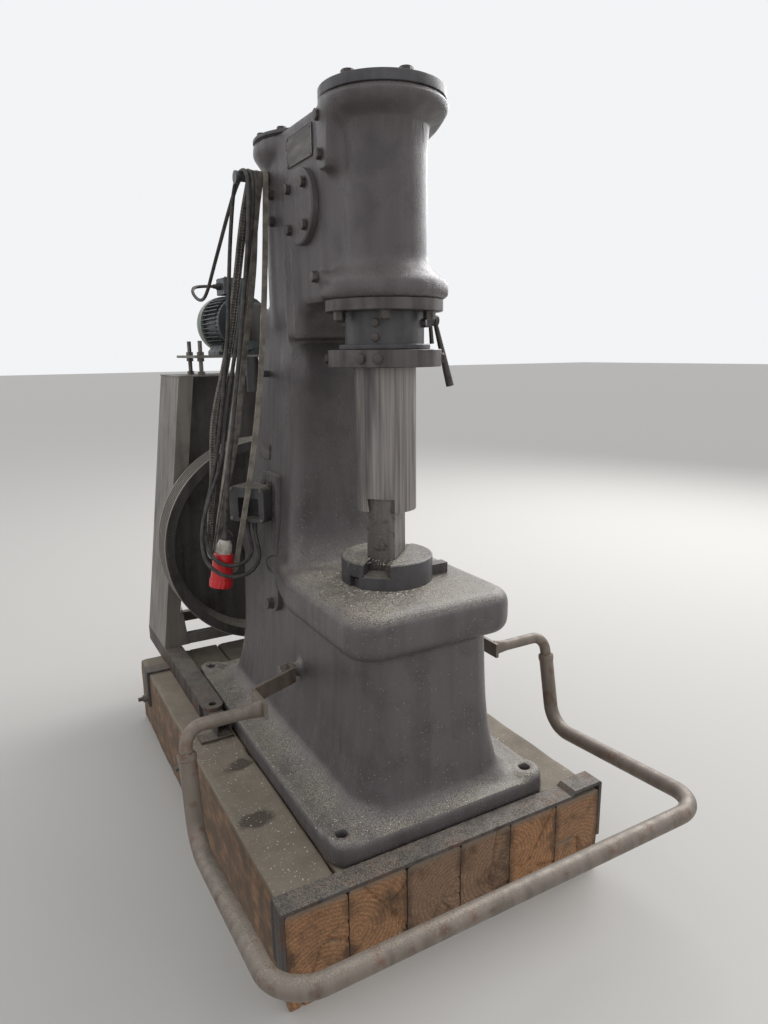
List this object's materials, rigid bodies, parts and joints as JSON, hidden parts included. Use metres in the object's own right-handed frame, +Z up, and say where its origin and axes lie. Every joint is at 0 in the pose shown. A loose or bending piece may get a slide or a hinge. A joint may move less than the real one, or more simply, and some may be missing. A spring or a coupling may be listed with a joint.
{
  "type": "pneumatic forging hammer",
  "caption": "Self-contained air hammer with a cast frame, round ram, turned dies, rear flywheel, motor on a tall sheet stand and a foot treadle, on a bed of timbers.",
  "frame": {"origin": "on the floor, straight below the axis of the ram", "axes": "+Z up; +Y to the rear, along the casting towards the motor; +X to the right of a person who stands in front of the dies"},
  "size_m": [1.2284, 2.0542, 2.101],
  "materials": {
    "machine_paint": "worn dark graphite enamel with an oily shine",
    "stand_paint": "dull grey enamel",
    "motor_paint": "satin blue-grey enamel",
    "turned_steel": "machined",
    "dark_steel": "dull and oily",
    "black_cast": "dull black",
    "old_timber": "weathered",
    "blank_plate": "brushed",
    "black_rubber": "matt",
    "grey_belt": "matt, dusty",
    "red_plug": "moulded",
    "cowl_paint": "satin pale grey-green"
  },
  "bodies": {
    "root": {"adjusting_rods": "turned_steel", "bearing_cover": "machine_paint", "bed_timbers": "old_timber", "belt_hook": "dark_steel", "blank_nameplate": "blank_plate", "cable_gland": "black_rubber", "column_strap": "machine_paint", "cylinder_covers": "dark_steel", "die_holder": "dark_steel", "drive_belts": "grey_belt", "front_tie_plate": "dark_steel", "gland_ring": "turned_steel", "guide_collar": "turned_steel", "guide_neck": "dark_steel", "hammer_frame": "machine_paint", "holder_wedge": "dark_steel", "lever_bracket": "dark_steel", "lower_die": "turned_steel", "lower_die_key": "dark_steel", "motor_body": "motor_paint", "motor_end_shield": "motor_paint", "motor_fan_cowl": "cowl_paint", "motor_lead": "black_rubber", "motor_plate": "stand_paint", "motor_pulley": "black_cast", "oil_cup": "dark_steel", "rail_clips": "dark_steel", "round_side_cover": "machine_paint", "side_box": "machine_paint", "stand_back_panel": "stand_paint", "stand_cross_bars": "stand_paint", "stand_rails": "dark_steel", "stand_sides": "stand_paint", "stand_top_plate": "stand_paint", "supply_cable": "black_rubber", "supply_plug": "red_plug", "terminal_box": "motor_paint", "timber_tie_rods": "dark_steel", "treadle_pivots": "dark_steel"},
    "ram_body": {"ram": "turned_steel", "upper_die": "turned_steel", "upper_die_key": "dark_steel"},
    "wheel_body": {"flywheel": "black_cast", "crankshaft": "turned_steel"},
    "treadle_body": {"treadle_hoop": "dark_steel", "treadle_links": "dark_steel"},
    "lever_body": {"control_lever": "turned_steel"}
  },
  "joints": [
    {"name": "ram_slide", "type": "slide", "parent": "root", "child": "ram_body", "axis": [0, 0, 1], "range_m": [0, 0.25]},
    {"name": "flywheel_spin", "type": "hinge", "parent": "root", "child": "wheel_body", "pos_m": [0, 1.02, 0.745], "axis": [0, 1, 0], "continuous": true},
    {"name": "treadle_press", "type": "hinge", "parent": "root", "child": "treadle_body", "pos_m": [0, 0.18, 0.556], "axis": [1, 0, 0], "range_deg": [0, 9], "stiffness_Nm_per_rad": 400, "springref_deg": -28.65},
    {"name": "control_lever_turn", "type": "hinge", "parent": "root", "child": "lever_body", "pos_m": [0.143, -0.02, 1.552], "axis": [1, 0, 0], "range_deg": [-25, 25]}
  ]
}
